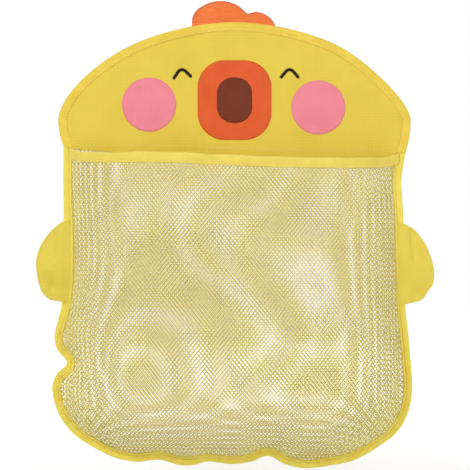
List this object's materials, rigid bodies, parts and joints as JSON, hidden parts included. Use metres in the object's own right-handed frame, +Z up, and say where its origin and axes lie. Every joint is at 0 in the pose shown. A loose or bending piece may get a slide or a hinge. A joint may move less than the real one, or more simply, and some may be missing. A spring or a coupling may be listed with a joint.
{
  "type": "bath toy organizer",
  "caption": "Chick-shaped hanging net pocket for bath toys: stiff printed head, bulged net front with a mouth band, side wings and a comb, hung on suction-cup hooks.",
  "frame": {"origin": "on the wall plane, midway between the centres of the two suction cups", "axes": "+Z up, +Y into the wall, +X to the right of someone facing the wall; the front of the bag faces -Y"},
  "size_m": [0.3824, 0.1139, 0.4492],
  "materials": {
    "cover": "satin coated weave",
    "stiffener": "matte foam sheet",
    "tape": "woven tape",
    "net": "knitted net",
    "band": "woven tape",
    "comb": "matte weave",
    "beak": "printed film",
    "mouth": "printed film",
    "cheek": "printed film",
    "eye": "printed film",
    "webbing": "woven webbing",
    "cup": "clear soft plastic",
    "wire": "polished wire"
  },
  "bodies": {
    "wall_hooks": {"left_suction_cup": "cup", "right_suction_cup": "cup", "left_wire_hook": "wire", "right_wire_hook": "wire"},
    "bag": {"head_back_panel": "cover", "head_stiffener": "stiffener", "head_front_panel": "cover", "head_binding": "tape", "beak_print": "beak", "mouth_print": "mouth", "left_cheek_print": "cheek", "right_cheek_print": "cheek", "left_eye_print": "eye", "right_eye_print": "eye", "pocket_back_net": "net", "pocket_binding": "tape", "left_hanging_loop": "webbing", "right_hanging_loop": "webbing"},
    "pocket_front": {"pocket_front_net": "net", "mouth_band": "band"},
    "left_wing_flap": {"left_wing": "cover"},
    "right_wing_flap": {"right_wing": "cover"},
    "comb_flap": {"comb": "comb"}
  },
  "joints": [
    {"name": "lift_off", "type": "slide", "parent": "wall_hooks", "child": "bag", "axis": [0, 0, 1], "range_m": [0, 0.012]},
    {"name": "mouth_open", "type": "hinge", "parent": "bag", "child": "pocket_front", "pos_m": [0, -0.0296, -0.3684], "axis": [1, 0, 0], "range_deg": [0, 8], "stiffness_Nm_per_rad": 0.5, "springref_deg": -4.58},
    {"name": "left_wing_fold", "type": "hinge", "parent": "bag", "child": "left_wing_flap", "pos_m": [-0.16657, -0.0274, -0.17815], "axis": [0.0216, 0, 0.9998], "range_deg": [-40, 85], "stiffness_Nm_per_rad": 0.01},
    {"name": "right_wing_fold", "type": "hinge", "parent": "bag", "child": "right_wing_flap", "pos_m": [0.16494, -0.0274, -0.18058], "axis": [0.0234, 0, -0.9997], "range_deg": [-40, 85], "stiffness_Nm_per_rad": 0.01},
    {"name": "comb_fold", "type": "hinge", "parent": "bag", "child": "comb_flap", "pos_m": [0, -0.0274, 0.0535], "axis": [1, 0, 0], "range_deg": [-40, 85], "stiffness_Nm_per_rad": 0.01}
  ]
}
